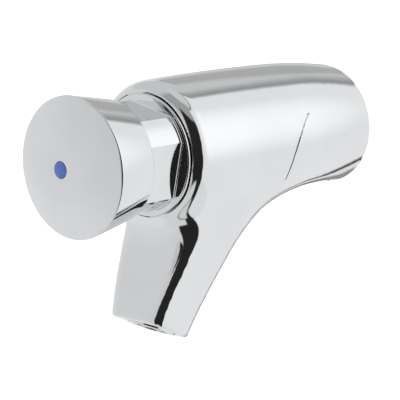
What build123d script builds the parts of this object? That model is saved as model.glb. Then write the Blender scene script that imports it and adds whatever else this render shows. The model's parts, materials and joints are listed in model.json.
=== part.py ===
from build123d import *
import math
import os

os.makedirs("parts", exist_ok=True)

# A wall tap that a push knob opens and a timing piston closes again.
# Millimetres. The origin is the centre of the wall plane on the inlet axis.
# +Y runs into the wall, the knob faces -Y, the spout hangs towards -Z.

along = (Align.CENTER, Align.CENTER, Align.MIN)

# Clearances
fit_gap = 0.05  # radial room of a screwed, pressed or glued fit
slide_gap = 0.08  # radial room of a sliding fit
face_gap = 0.1  # room between two faces that only meet when tightened

# Barrel of the body
barrel_length = 95.3
barrel_crown_radius = 24.95
barrel_front_taper = 0.45  # how much smaller the radius is behind the rim
barrel_tail_taper = 0.25  # where the tail starts
barrel_wall_taper = 2.85  # at the wall
barrel_tail_length = 32.0  # from the wall to where the barrel starts to narrow
rim_round = 5.5
rim_edge_round = 0.3

# Spout: each section is its drop below the inlet axis, how much narrower its half
# width is than the crown, its front face before the rim, and its corner radius.
spout_sections = [
    (12.0, 5.45, -5.2, 8.5),
    (26.0, 7.05, -4.45, 7.1),
    (38.0, 9.45, 0.35, 5.2),
    (50.0, 11.95, 5.65, 4.8),
    (68.0, 14.05, 10.2, 5.2),
]
web_depth = 65.3  # from the rim back to the rear of the web
web_blend = 12.0
underside_round = 7.4
outlet_tilt = 26.0
outlet_front_reach = 5.0  # outlet plane's reference point before the rim
outlet_front_drop = 55.55
outlet_centre_setback = 7.7
outlet_edge_round = 0.8
waterway_rise = 48.0  # from the outlet up to the valve chamber

# Underside: a hollow that runs from the wall down the back of the spout. Its bites
# are how deep it cuts into the barrel's lowest line, its setbacks are behind the rim.
underside_wall_bite = 1.6
underside_high_y = -28.5
underside_high_bite = 7.3
underside_knee_setback = 48.0
underside_knee_bite = 4.2
underside_turn_setback = 28.1
underside_turn_drop = 35.9
underside_end_setback = 9.35
underside_end_drop = 67.0

# Casting crease on each side of the barrel
crease_top_y = -37.2
crease_top_z = 9.6
crease_low_y = -48.4
crease_low_z = -12.5
crease_bow = 3.3
crease_width = 1.0
crease_depth = 0.35

# Bores of the body
flange_seat_depth = 2.5
nut_bore_radius = 16.5
nut_bore_length = 16.3
chamber_radius = 16.5
seat_web_y = -48.0  # front face of the web that carries the valve seat
seat_web_thickness = 5.0
inlet_chamber_radius = 10.0
wall_recess_radius = 15.0
wall_recess_depth = 4.5
waterway_radius = 4.5

# Head nut
flange_radius = 20.45
flange_room = 0.45  # radial room between the flange and its seat
flange_stand = 0.8  # flange face before the rim
gasket_thickness = 1.0
neck_radius = 18.65
flat_distance = 16.05
flat_count = 4
flat_turn = -12.1  # first flat's normal, from +X towards +Z
neck_length = 21.95
neck_root_round = 0.7
shoulder_round = 0.6
nut_thread_length = 14.0
spring_pocket_radius = 12.5
spring_pocket_depth = 11.0
nut_rear_pocket_depth = 13.0

# Push knob
knob_rim_radius = 23.0
knob_rear_radius = 20.2
knob_side_length = 16.5
knob_dome_rise = 4.7
knob_overlap = 6.3  # skirt over the nut's neck at rest
knob_face_thickness = 2.35  # from the rim plane to the inside of the face
knob_bevel = 0.3
skirt_gap = 0.4
boss_radius = 7.0
boss_length = 8.0

# Cold index and knob screw
index_radius = 2.7
index_thickness = 1.6
index_dome = 0.3
screw_head_radius = 2.6
screw_head_height = 2.9
screw_radius = 1.5
screw_length = 9.0
socket_radius = 1.25
socket_depth = 1.5
clamp_web = 1.9  # knob metal between the screw's head and the rod

# Push rod with its bush, seal and rings
rod_radius = 4.0
rod_tail_length = 3.2  # behind the stop ring
bush_radius = 7.0
bush_length = 8.0
rod_seal_width = 2.2
ring_thickness = 1.0
ring_opening = 3.0  # mouth of a spring ring
bush_ring_radius = 7.7
bush_ring_bore = 5.2
bush_ring_land = 1.0  # nut metal behind the bush ring
stop_ring_radius = 6.2
stop_ring_bore = 3.4
stop_ring_gap = 0.3
rod_chamfer = 0.6

# Cartridge
sleeve_radius = 13.4
sleeve_bore_radius = 11.0
sleeve_windows = 6
window_width = 6.0
window_length = 9.0
window_setback = 6.0  # from the sleeve's rear end
seal_width = 1.6
seal_depth = 1.2
sleeve_seal_setback = 4.0
piston_length = 7.0
piston_gap = 0.3  # between the rod's tail and the piston
piston_hub_radius = 5.0
piston_hub_length = 4.0
lip_seal_width = 2.5
lip_seal_bore = 8.6
lip_seal_land = 0.8  # piston metal behind the lip seal
lip_seal_notch_depth = 1.3
lip_seal_wall = 0.7
jewel_radius = 1.4
jewel_offset = 6.6
jewel_hole_radius = 0.4
stem_radius = 3.0
poppet_radius = 8.0
poppet_thickness = 2.0
washer_thickness = 2.5
washer_nut_radius = 4.6
washer_nut_thickness = 2.0

# Valve seat
seat_bore_radius = 6.0
seat_radius = 9.0
seat_flange_radius = 12.8
seat_flange_thickness = 1.5
seat_lip = 1.5
seat_lip_width = 1.2

# Inlet nipple, a G 1/2 parallel thread at its major radius
nipple_radius = 10.48
nipple_reach = 12.0
nipple_lead = 1.0  # tapered start of the thread
nipple_lead_radius = 9.5
nipple_root = 14.0  # length screwed into the body
nipple_relief_radius = 9.4
nipple_bore_radius = 7.0
strainer_seat_radius = 8.2
strainer_seat_depth = 3.0
strainer_thickness = 1.4
strainer_hole_radius = 0.8
strainer_hole_pitch = 2.6
strainer_rings = 2
wall_gasket_thickness = 4.0
restrictor_thickness = 2.0
restrictor_hole_radius = 1.2
restrictor_holes = 4
restrictor_hole_circle = 2.6

# Outlet nozzle
nozzle_radius = 8.4
nozzle_length = 5.0
nozzle_stand = 0.5
nozzle_bore_radius = 7.0
nozzle_lip_radius = 6.0
nozzle_lip = 1.0
straightener_length = 3.5
straightener_hole_radius = 1.5
straightener_ring_radius = 4.2
nozzle_washer_thickness = 1.0
nozzle_washer_bore = 5.8

# Springs
return_wire_radius = 0.8
return_coil_radius = 9.8
closing_wire_radius = 0.5
closing_coil_radius = 5.0

# Radii of the barrel that follow its crown
barrel_front_radius = barrel_crown_radius - barrel_front_taper
barrel_tail_radius = barrel_crown_radius - barrel_tail_taper
barrel_wall_radius = barrel_crown_radius - barrel_wall_taper

# Places along the inlet axis, chained from the wall to the knob
rim_y = -barrel_length
flange_face_y = rim_y - flange_stand
flange_floor_y = rim_y + flange_seat_depth
flange_back_y = flange_floor_y - gasket_thickness
neck_front_y = flange_face_y - neck_length
nut_rear_y = flange_back_y + nut_thread_length
pocket_floor_y = neck_front_y + spring_pocket_depth
sleeve_pocket_y = nut_rear_y - nut_rear_pocket_depth
bush_ring_rear_y = sleeve_pocket_y - bush_ring_land
bush_ring_front_y = bush_ring_rear_y - ring_thickness
rod_seal_rear_y = bush_ring_front_y - face_gap
rod_seal_front_y = rod_seal_rear_y - rod_seal_width
bush_rear_y = rod_seal_front_y - face_gap
bush_front_y = bush_rear_y - bush_length
stop_ring_y = bush_ring_rear_y + stop_ring_gap
rod_tail_y = stop_ring_y + ring_thickness + rod_tail_length
piston_front_y = rod_tail_y + piston_gap
piston_rear_y = piston_front_y + piston_length
stem_front_y = piston_rear_y - piston_hub_length
knob_rear_y = neck_front_y + knob_overlap
knob_rim_y = knob_rear_y - knob_side_length
knob_apex_y = knob_rim_y - knob_dome_rise
knob_inside_y = knob_rim_y + knob_face_thickness
boss_end_y = knob_inside_y + boss_length
screw_head_y = knob_apex_y + index_thickness + face_gap
screw_seat_y = screw_head_y + screw_head_height
rod_front_y = screw_seat_y + clamp_web
seat_front_y = seat_web_y - seat_flange_thickness
sleeve_rear_y = seat_front_y - face_gap
sleeve_front_y = sleeve_pocket_y + face_gap
seat_web_rear_y = seat_web_y + seat_web_thickness
seat_lip_y = seat_web_rear_y + seat_lip
poppet_y = seat_lip_y + washer_thickness
poppet_rear_y = poppet_y + poppet_thickness
recess_floor_y = -wall_recess_depth
nipple_front_y = recess_floor_y - nipple_root
restrictor_y = nipple_front_y - face_gap - restrictor_thickness

# Outlet plane, its +Z pointing out of the spout along the falling water
tilt = math.radians(outlet_tilt)
outlet_axis = Vector(0, -math.sin(tilt), -math.cos(tilt))
outlet_up_slope = Vector(0, math.cos(tilt), -math.sin(tilt))
outlet_front = Vector(0, rim_y - outlet_front_reach, -outlet_front_drop)
outlet_centre = outlet_front + outlet_up_slope * outlet_centre_setback
outlet_plane = Plane(origin=outlet_centre, x_dir=(1, 0, 0), z_dir=outlet_axis)


def axial(y):
    """Plane across the inlet axis at y, its normal towards the wall."""
    return Plane(origin=(0, y, 0), x_dir=(1, 0, 0), z_dir=(0, 1, 0))


def turned(start_y, end_y, radius, mode=Mode.ADD):
    """Cylinder about the inlet axis between two places on it."""
    with Locations(axial(min(start_y, end_y))):
        Cylinder(radius, abs(end_y - start_y), align=along, mode=mode)


def spout_turned(start, end, radius, mode=Mode.ADD):
    """Cylinder about the outlet's axis, its ends measured out of the outlet plane."""
    with Locations(outlet_plane.offset(min(start, end))):
        Cylinder(radius, abs(end - start), align=along, mode=mode)


def write(piece, name):
    """Label a finished piece and write it to its own file."""
    piece.part.label = name
    export_step(piece.part, f"parts/{name}.step")


def barrel_outline(inset=0.0):
    """Half outline of the barrel in the XY plane, for turning about the Y axis."""
    front = barrel_front_radius - inset
    shoulder_y = rim_y + rim_round
    tail = (barrel_tail_radius - inset, -barrel_tail_length)
    crown_y = (shoulder_y - barrel_tail_length) / 2
    crown_radius = barrel_crown_radius - inset
    crown = ThreePointArc((front, shoulder_y), (crown_radius, crown_y), tail)
    TangentArc(tail, (barrel_wall_radius - inset, 0), tangent=crown % 1)
    Polyline((barrel_wall_radius - inset, 0), (0, 0), (0, rim_y))
    Line((0, rim_y), (front - rim_round, rim_y))
    RadiusArc((front - rim_round, rim_y), (front, shoulder_y), -rim_round)


def underside_outline():
    """Side view of the hollow under the barrel and behind the spout."""
    wall = (face_gap, underside_wall_bite - barrel_wall_radius)
    high = (underside_high_y, underside_high_bite - barrel_crown_radius)
    knee = (rim_y + underside_knee_setback, underside_knee_bite - barrel_crown_radius)
    turn = (rim_y + underside_turn_setback, -underside_turn_drop)
    end = (rim_y + underside_end_setback, -underside_end_drop)
    floor = 2 * underside_end_drop
    TangentArc(high, wall, tangent=(1, 0))
    to_knee = TangentArc(high, knee, tangent=(-1, 0))
    to_turn = TangentArc(knee, turn, tangent=to_knee % 1)
    TangentArc(turn, end, tangent=to_turn % 1)
    Polyline(end, (end[0], -floor), (wall[0], -floor), wall)


with BuildPart() as crease:
    low = Vector(crease_low_y, crease_low_z)
    top = Vector(crease_top_y, crease_top_z)
    middle = (low + top) / 2 - Vector(crease_bow, 0)
    widening = Vector(crease_width, 0)
    with BuildSketch(Plane.YZ):
        with BuildLine():
            ThreePointArc(low, middle, top)
            Line(top, top + widening)
            ThreePointArc(top + widening, middle + widening / 2, low)
        make_face()
    extrude(amount=2 * barrel_crown_radius, both=True)
    with BuildSketch(Plane.XY):
        with BuildLine():
            barrel_outline(crease_depth)
        make_face()
    revolve(axis=Axis.Y, mode=Mode.SUBTRACT)

with BuildPart() as tap_body:
    with BuildSketch(Plane.XY):
        with BuildLine():
            barrel_outline()
        make_face()
    revolve(axis=Axis.Y)
    for drop, narrowing, reach, corner in spout_sections:
        half_width = barrel_crown_radius - narrowing
        front_y = rim_y - reach
        rear_y = rim_y + web_depth
        with BuildSketch(Plane.XY.offset(-drop)):
            with Locations((0, (front_y + rear_y) / 2)):
                RectangleRounded(2 * half_width, rear_y - front_y, corner)
    loft()
    fillet(tap_body.edges(Select.NEW), web_blend)
    with BuildSketch(Plane.YZ):
        with BuildLine():
            underside_outline()
        make_face()
    extrude(amount=2 * barrel_crown_radius, both=True, mode=Mode.SUBTRACT)
    side_edges = tap_body.edges(Select.NEW).filter_by(lambda e: abs((e @ 0.5).X) > face_gap)
    fillet(side_edges.filter_by(lambda e: (e @ 0.5).Y < -face_gap), underside_round)
    with BuildSketch(outlet_plane):
        Rectangle(4 * barrel_crown_radius, 4 * barrel_crown_radius)
    extrude(amount=2 * barrel_crown_radius, mode=Mode.SUBTRACT)
    fillet(tap_body.edges(Select.NEW), outlet_edge_round)
    # Front: seat of the nut's flange, nut thread, valve chamber and seat web
    turned(rim_y, flange_floor_y, flange_radius + flange_room, Mode.SUBTRACT)
    turned(rim_y, rim_y + nut_bore_length, nut_bore_radius, Mode.SUBTRACT)
    turned(rim_y + nut_bore_length, seat_web_y, chamber_radius, Mode.SUBTRACT)
    turned(seat_web_y, seat_web_rear_y, seat_radius + fit_gap, Mode.SUBTRACT)
    # Rear: inlet chamber, nipple thread and the recess of the wall gasket
    turned(seat_web_rear_y, recess_floor_y, inlet_chamber_radius, Mode.SUBTRACT)
    turned(nipple_front_y, recess_floor_y, nipple_radius + fit_gap, Mode.SUBTRACT)
    turned(recess_floor_y, 0, wall_recess_radius, Mode.SUBTRACT)
    # Spout: nozzle thread, then the waterway up to the valve chamber
    nozzle_floor = -(nozzle_length + nozzle_washer_thickness + face_gap)
    spout_turned(nozzle_floor, 0, nozzle_radius + fit_gap, Mode.SUBTRACT)
    spout_turned(-waterway_rise, 0, waterway_radius, Mode.SUBTRACT)
    add(crease.part, mode=Mode.SUBTRACT)
write(tap_body, "tap_body")

# Head: the nut that holds the cartridge down, and what it guides the rod with
with BuildPart() as head_nut:
    with BuildSketch(axial(neck_front_y)):
        Circle(neck_radius)
        Rectangle(2 * flat_distance, 2 * flat_distance, rotation=-flat_turn, mode=Mode.INTERSECT)
    extrude(amount=neck_length)
    turned(flange_face_y, flange_back_y, flange_radius)
    shoulder_edges = head_nut.edges().filter_by_position(
        Axis.Y, flange_face_y - fit_gap, flange_face_y + fit_gap
    )
    flange_edges = shoulder_edges.filter_by(GeomType.CIRCLE).group_by(SortBy.RADIUS)[-1]
    neck_edges = shoulder_edges - flange_edges
    fillet(neck_edges, neck_root_round)
    fillet(flange_edges, shoulder_round)
    turned(flange_back_y, nut_rear_y, nut_bore_radius - fit_gap)
    turned(neck_front_y, pocket_floor_y, spring_pocket_radius, Mode.SUBTRACT)
    turned(pocket_floor_y, sleeve_pocket_y, rod_radius + 2 * face_gap, Mode.SUBTRACT)
    turned(bush_front_y - face_gap, sleeve_pocket_y, bush_radius + fit_gap, Mode.SUBTRACT)
    turned(bush_ring_front_y - fit_gap, bush_ring_rear_y, bush_ring_radius + fit_gap, Mode.SUBTRACT)
    turned(sleeve_pocket_y, nut_rear_y, sleeve_radius + fit_gap, Mode.SUBTRACT)
write(head_nut, "head_nut")

with BuildPart() as head_gasket:
    turned(flange_back_y, flange_floor_y, flange_radius - face_gap)
    turned(flange_back_y, flange_floor_y, nut_bore_radius + face_gap, Mode.SUBTRACT)
write(head_gasket, "head_gasket")

with BuildPart() as guide_bush:
    turned(bush_front_y, bush_rear_y, bush_radius)
    turned(bush_front_y, bush_rear_y, rod_radius + slide_gap, Mode.SUBTRACT)
write(guide_bush, "guide_bush")

with BuildPart() as rod_seal:
    turned(rod_seal_front_y, rod_seal_rear_y, bush_radius)
    turned(rod_seal_front_y, rod_seal_rear_y, rod_radius + slide_gap, Mode.SUBTRACT)
write(rod_seal, "rod_seal")

with BuildPart() as bush_ring:
    turned(bush_ring_front_y, bush_ring_rear_y, bush_ring_radius)
    turned(bush_ring_front_y, bush_ring_rear_y, bush_ring_bore, Mode.SUBTRACT)
    with Locations(axial(bush_ring_front_y)):
        mouth = (Align.CENTER, Align.MIN, Align.MIN)
        Box(ring_opening, 2 * bush_ring_radius, ring_thickness, align=mouth, mode=Mode.SUBTRACT)
write(bush_ring, "bush_ring")

# Knob: the shell, its index, its screw, and the rod it pushes
with BuildPart() as push_knob:
    with BuildSketch(Plane.XY):
        with BuildLine():
            skirt_radius = neck_radius + skirt_gap
            TangentArc((0, knob_apex_y), (knob_rim_radius, knob_rim_y), tangent=(1, 0))
            Polyline(
                (knob_rim_radius, knob_rim_y),
                (knob_rear_radius, knob_rear_y - knob_bevel),
                (knob_rear_radius - knob_bevel, knob_rear_y),
                (skirt_radius, knob_rear_y),
                (skirt_radius, knob_inside_y),
                (0, knob_inside_y),
                (0, knob_apex_y),
            )
        make_face()
    revolve(axis=Axis.Y)
    turned(knob_inside_y, boss_end_y, boss_radius)
    turned(rod_front_y, boss_end_y, rod_radius + fit_gap, Mode.SUBTRACT)
    turned(knob_apex_y, rod_front_y, screw_radius + face_gap, Mode.SUBTRACT)
    turned(knob_apex_y, screw_seat_y, index_radius + fit_gap, Mode.SUBTRACT)
write(push_knob, "push_knob")

with BuildPart() as cold_index:
    with BuildSketch(Plane.XY):
        with BuildLine():
            TangentArc((0, knob_apex_y - index_dome), (index_radius, knob_apex_y), tangent=(1, 0))
            Polyline(
                (index_radius, knob_apex_y),
                (index_radius, knob_apex_y + index_thickness),
                (0, knob_apex_y + index_thickness),
                (0, knob_apex_y - index_dome),
            )
        make_face()
    revolve(axis=Axis.Y)
write(cold_index, "cold_index")

with BuildPart() as knob_screw:
    turned(screw_head_y, screw_seat_y, screw_head_radius)
    turned(screw_seat_y, screw_seat_y + screw_length, screw_radius)
    with BuildSketch(axial(screw_head_y)):
        RegularPolygon(socket_radius, 6)
    extrude(amount=socket_depth, mode=Mode.SUBTRACT)
write(knob_screw, "knob_screw")

with BuildPart() as push_rod:
    turned(rod_front_y, rod_tail_y, rod_radius)
    chamfer(push_rod.edges().group_by(Axis.Y)[-1], rod_chamfer)
    thread_end_y = screw_seat_y + screw_length + ring_thickness
    turned(rod_front_y, thread_end_y, screw_radius + fit_gap, Mode.SUBTRACT)
    groove_rear_y = stop_ring_y + ring_thickness
    turned(stop_ring_y, groove_rear_y, rod_radius, Mode.SUBTRACT)
    turned(stop_ring_y, groove_rear_y, stop_ring_bore - fit_gap)
write(push_rod, "push_rod")

with BuildPart() as stop_ring:
    turned(stop_ring_y, stop_ring_y + ring_thickness, stop_ring_radius)
    turned(stop_ring_y, stop_ring_y + ring_thickness, stop_ring_bore, Mode.SUBTRACT)
    with Locations(axial(stop_ring_y)):
        mouth = (Align.CENTER, Align.MIN, Align.MIN)
        Box(ring_opening, 2 * stop_ring_radius, ring_thickness, align=mouth, mode=Mode.SUBTRACT)
write(stop_ring, "stop_ring")

# Return spring between the knob and the nut's pocket, as the sleeve its coils fill
with BuildPart() as return_spring:
    turned(knob_inside_y, pocket_floor_y, return_coil_radius + return_wire_radius)
    turned(knob_inside_y, pocket_floor_y, return_coil_radius - return_wire_radius, Mode.SUBTRACT)
write(return_spring, "return_spring")

# Cartridge: sleeve, timing piston and the valve it opens
with BuildPart() as cartridge_sleeve:
    turned(sleeve_front_y, sleeve_rear_y, sleeve_radius)
    turned(sleeve_front_y, sleeve_rear_y, sleeve_bore_radius, Mode.SUBTRACT)
    window_y = sleeve_rear_y - window_setback - window_length / 2
    outward = (Align.CENTER, Align.CENTER, Align.MIN)
    for index in range(sleeve_windows):
        with Locations(Location((0, window_y, 0), (0, index * 360 / sleeve_windows, 0))):
            Box(window_width, window_length, 2 * sleeve_radius, align=outward, mode=Mode.SUBTRACT)
    sleeve_seal_y = sleeve_front_y + sleeve_seal_setback
    turned(sleeve_seal_y, sleeve_seal_y + seal_width, sleeve_radius, Mode.SUBTRACT)
    turned(sleeve_seal_y, sleeve_seal_y + seal_width, sleeve_radius - seal_depth)
    turned(sleeve_seal_y, sleeve_seal_y + seal_width, sleeve_bore_radius, Mode.SUBTRACT)
write(cartridge_sleeve, "cartridge_sleeve")

with BuildPart() as sleeve_seal:
    turned(sleeve_seal_y + fit_gap, sleeve_seal_y + seal_width - fit_gap, sleeve_radius)
    seal_bore = sleeve_radius - seal_depth + fit_gap
    turned(sleeve_seal_y, sleeve_seal_y + seal_width, seal_bore, Mode.SUBTRACT)
write(sleeve_seal, "sleeve_seal")

with BuildPart() as timing_piston:
    lip_rear_y = piston_rear_y - lip_seal_land
    lip_front_y = lip_rear_y - lip_seal_width
    turned(piston_front_y, piston_rear_y, sleeve_bore_radius - slide_gap)
    turned(lip_front_y, lip_rear_y, sleeve_bore_radius, Mode.SUBTRACT)
    turned(lip_front_y, lip_rear_y, lip_seal_bore - fit_gap)
    turned(piston_rear_y, piston_rear_y + piston_hub_length, piston_hub_radius)
    hub_end_y = piston_rear_y + piston_hub_length
    turned(stem_front_y, hub_end_y, stem_radius + fit_gap, Mode.SUBTRACT)
    with Locations(axial(piston_front_y)):
        with Locations((jewel_offset, 0)):
            Cylinder(jewel_radius + fit_gap, piston_length, align=along, mode=Mode.SUBTRACT)
write(timing_piston, "timing_piston")

with BuildPart() as lip_seal:
    lip_outer = sleeve_bore_radius - slide_gap / 2
    turned(lip_front_y, lip_rear_y, lip_outer)
    notch_y = lip_rear_y - lip_seal_notch_depth
    turned(notch_y, lip_rear_y, lip_outer - lip_seal_wall, Mode.SUBTRACT)
    turned(notch_y, lip_rear_y, lip_seal_bore + lip_seal_wall)
    turned(lip_front_y, lip_rear_y, lip_seal_bore, Mode.SUBTRACT)
write(lip_seal, "lip_seal")

with BuildPart() as timing_jewel:
    with Locations(axial(piston_front_y)):
        with Locations((jewel_offset, 0)):
            Cylinder(jewel_radius, piston_length, align=along)
            Cylinder(jewel_hole_radius, piston_length, align=along, mode=Mode.SUBTRACT)
write(timing_jewel, "timing_jewel")

with BuildPart() as valve_stem:
    turned(stem_front_y, poppet_y, stem_radius)
    turned(poppet_y, poppet_rear_y, poppet_radius)
write(valve_stem, "valve_stem")

with BuildPart() as poppet_washer:
    turned(seat_lip_y, poppet_y, poppet_radius - 2 * face_gap)
    turned(seat_lip_y, poppet_y, stem_radius + fit_gap, Mode.SUBTRACT)
write(poppet_washer, "poppet_washer")

with BuildPart() as washer_nut:
    with BuildSketch(axial(seat_lip_y - washer_nut_thickness)):
        RegularPolygon(washer_nut_radius, 6)
        Circle(stem_radius + fit_gap, mode=Mode.SUBTRACT)
    extrude(amount=washer_nut_thickness)
write(washer_nut, "washer_nut")

with BuildPart() as valve_seat:
    seal_middle_y = (seat_web_y + seat_web_rear_y) / 2
    turned(seat_front_y, seat_web_y, seat_flange_radius)
    turned(seat_web_y, seat_web_rear_y, seat_radius)
    seal_start_y = seal_middle_y - seal_width / 2
    turned(seal_start_y, seal_start_y + seal_width, seat_radius, Mode.SUBTRACT)
    turned(seal_start_y, seal_start_y + seal_width, seat_radius - seal_depth)
    turned(seat_web_rear_y, seat_lip_y, seat_bore_radius + seat_lip_width)
    turned(seat_front_y, seat_lip_y, seat_bore_radius, Mode.SUBTRACT)
write(valve_seat, "valve_seat")

with BuildPart() as seat_seal:
    turned(seal_start_y + fit_gap, seal_start_y + seal_width - fit_gap, seat_radius)
    seat_seal_bore = seat_radius - seal_depth + fit_gap
    turned(seal_start_y, seal_start_y + seal_width, seat_seal_bore, Mode.SUBTRACT)
write(seat_seal, "seat_seal")

# Inlet: closing spring, restrictor, nipple, strainer and wall gasket
with BuildPart() as closing_spring:
    turned(poppet_rear_y, restrictor_y, closing_coil_radius + closing_wire_radius)
    closing_bore = closing_coil_radius - closing_wire_radius
    turned(poppet_rear_y, restrictor_y, closing_bore, Mode.SUBTRACT)
write(closing_spring, "closing_spring")

with BuildPart() as flow_restrictor:
    turned(restrictor_y, restrictor_y + restrictor_thickness, inlet_chamber_radius - fit_gap)
    with BuildSketch(axial(restrictor_y)):
        with PolarLocations(restrictor_hole_circle, restrictor_holes):
            Circle(restrictor_hole_radius)
    extrude(amount=restrictor_thickness, mode=Mode.SUBTRACT)
write(flow_restrictor, "flow_restrictor")

with BuildPart() as inlet_nipple:
    turned(nipple_front_y, recess_floor_y, nipple_radius)
    turned(recess_floor_y, 0, nipple_relief_radius)
    turned(0, nipple_reach, nipple_radius)
    lead_drop = nipple_radius - nipple_lead_radius
    with BuildSketch(axial(nipple_reach)):
        Circle(nipple_radius)
    with BuildSketch(axial(nipple_reach + nipple_lead)):
        Circle(nipple_radius - lead_drop)
    loft()
    nipple_end_y = nipple_reach + nipple_lead
    turned(nipple_front_y, nipple_end_y, nipple_bore_radius, Mode.SUBTRACT)
    strainer_y = nipple_end_y - strainer_seat_depth
    turned(strainer_y, nipple_end_y, strainer_seat_radius, Mode.SUBTRACT)
write(inlet_nipple, "inlet_nipple")

with BuildPart() as inlet_strainer:
    turned(strainer_y, strainer_y + strainer_thickness, strainer_seat_radius - fit_gap)
    with BuildSketch(axial(strainer_y)):
        Circle(strainer_hole_radius)
        for ring in range(1, strainer_rings + 1):
            with PolarLocations(ring * strainer_hole_pitch, 6 * ring):
                Circle(strainer_hole_radius)
    extrude(amount=strainer_thickness, mode=Mode.SUBTRACT)
write(inlet_strainer, "inlet_strainer")

with BuildPart() as wall_gasket:
    gasket_rear_y = recess_floor_y + wall_gasket_thickness
    turned(recess_floor_y, gasket_rear_y, wall_recess_radius - 2 * face_gap)
    turned(recess_floor_y, gasket_rear_y, nipple_radius + 2 * face_gap, Mode.SUBTRACT)
write(wall_gasket, "wall_gasket")

# Outlet: nozzle ring with its straightener and washer
with BuildPart() as nozzle_ring:
    spout_turned(-nozzle_length, nozzle_stand, nozzle_radius)
    spout_turned(-nozzle_length, nozzle_stand - nozzle_lip, nozzle_bore_radius, Mode.SUBTRACT)
    spout_turned(-nozzle_length, nozzle_stand, nozzle_lip_radius, Mode.SUBTRACT)
write(nozzle_ring, "nozzle_ring")

with BuildPart() as flow_straightener:
    straightener_face = nozzle_stand - nozzle_lip - fit_gap
    spout_turned(straightener_face - straightener_length, straightener_face, nozzle_bore_radius - fit_gap)
    with BuildSketch(outlet_plane.offset(straightener_face)):
        Circle(straightener_hole_radius)
        with PolarLocations(straightener_ring_radius, 6):
            Circle(straightener_hole_radius)
    extrude(amount=-straightener_length, mode=Mode.SUBTRACT)
write(flow_straightener, "flow_straightener")

with BuildPart() as nozzle_washer:
    washer_end = -nozzle_length - nozzle_washer_thickness
    spout_turned(washer_end, -nozzle_length, nozzle_radius - face_gap)
    spout_turned(washer_end, -nozzle_length, nozzle_washer_bore, Mode.SUBTRACT)
write(nozzle_washer, "nozzle_washer")
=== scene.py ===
"""A wall tap with a push knob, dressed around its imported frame.

Blender works in metres and in the frame's own axes: the origin is the centre of the wall
plane on the inlet axis, +Y runs into the wall and the spout hangs towards -Z. The sizes
of the pieces are given in millimetres and their angles in degrees.
"""

import json
import logging
import math
from dataclasses import dataclass
from enum import Enum
from typing import Any, Callable, ClassVar, Optional, Sequence, Union

import bpy
from mathutils import Matrix, Vector


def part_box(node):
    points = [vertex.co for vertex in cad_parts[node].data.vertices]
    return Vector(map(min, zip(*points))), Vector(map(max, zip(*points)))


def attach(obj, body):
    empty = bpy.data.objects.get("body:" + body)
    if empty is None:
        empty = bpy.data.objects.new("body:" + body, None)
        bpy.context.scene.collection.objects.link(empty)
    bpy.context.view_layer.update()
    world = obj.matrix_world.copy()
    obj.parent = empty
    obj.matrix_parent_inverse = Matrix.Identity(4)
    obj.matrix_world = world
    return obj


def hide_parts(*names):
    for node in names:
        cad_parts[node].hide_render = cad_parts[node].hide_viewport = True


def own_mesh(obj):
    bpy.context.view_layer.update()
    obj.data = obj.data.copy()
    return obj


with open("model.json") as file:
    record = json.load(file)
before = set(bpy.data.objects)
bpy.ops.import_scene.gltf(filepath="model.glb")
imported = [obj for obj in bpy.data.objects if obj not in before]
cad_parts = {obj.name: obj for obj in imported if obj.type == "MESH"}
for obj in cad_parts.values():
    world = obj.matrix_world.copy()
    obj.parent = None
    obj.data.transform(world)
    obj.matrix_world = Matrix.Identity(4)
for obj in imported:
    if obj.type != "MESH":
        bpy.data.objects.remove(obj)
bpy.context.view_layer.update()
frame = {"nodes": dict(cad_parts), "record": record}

log = logging.getLogger("tap")
MM = 0.001
SAME_PLACE = 1e-6
WHITE = (1.0, 1.0, 1.0, 1.0)
SOFT_STEP = {"interpolation_type": "SMOOTHSTEP", "clamp": True}
Operand = Union["Signal", int, float]
Sockets = dict[Union[int, str], Any]
Piece = bpy.types.Object
Node = bpy.types.Node
Socket = bpy.types.NodeSocket
Colour = tuple[float, float, float]
Point = tuple[float, float]
Corner = tuple[float, float, float]


def operator(operation: str, swapped: bool = False) -> Callable[["Signal", Operand], "Signal"]:
    """Makes one of Signal's operators, by the Math node's operation and its operands' order."""

    def method(self: "Signal", other: Operand) -> "Signal":
        """Adds one Math node for two values."""
        return self.math(operation, *((other, self) if swapped else (self, other)))

    return method


class Signal:
    """A number that flows through a node tree, so that Python's operators add Math nodes."""

    def __init__(self, bench: "ShaderBench", socket: Socket) -> None:
        """Wraps one output socket of a bench's tree."""
        self.bench = bench
        self.socket = socket

    def math(self, operation: str, *values: Operand) -> "Signal":
        """Adds one Math node, by Blender's name of the operation and its operands."""
        inputs = dict(enumerate(values))
        return self.bench.number("ShaderNodeMath", {"operation": operation}, inputs)

    __add__ = __radd__ = operator("ADD")
    __sub__ = operator("SUBTRACT")
    __rsub__ = operator("SUBTRACT", swapped=True)
    __mul__ = __rmul__ = operator("MULTIPLY")
    __truediv__ = operator("DIVIDE")
    __rtruediv__ = operator("DIVIDE", swapped=True)
    __pow__ = operator("POWER")
    larger = operator("MAXIMUM")
    smaller = operator("MINIMUM")

    def __neg__(self) -> "Signal":
        """Opposite sign."""
        return self.math("MULTIPLY", self, -1.0)

    def size(self) -> "Signal":
        """The value without its sign."""
        return self.math("ABSOLUTE", self)

    def turned(self) -> "Signal":
        """The same direction in degrees, brought between -180 and 180."""
        return self.math("WRAP", self, 180.0, -180.0)

    def step(self, start: float, end: float) -> "Signal":
        """A soft step, from 0 at the first value to 1 at the second."""
        inputs = {0: self, 1: float(start), 2: float(end), 3: 0.0, 4: 1.0}
        return self.bench.number("ShaderNodeMapRange", SOFT_STEP, inputs)


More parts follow.
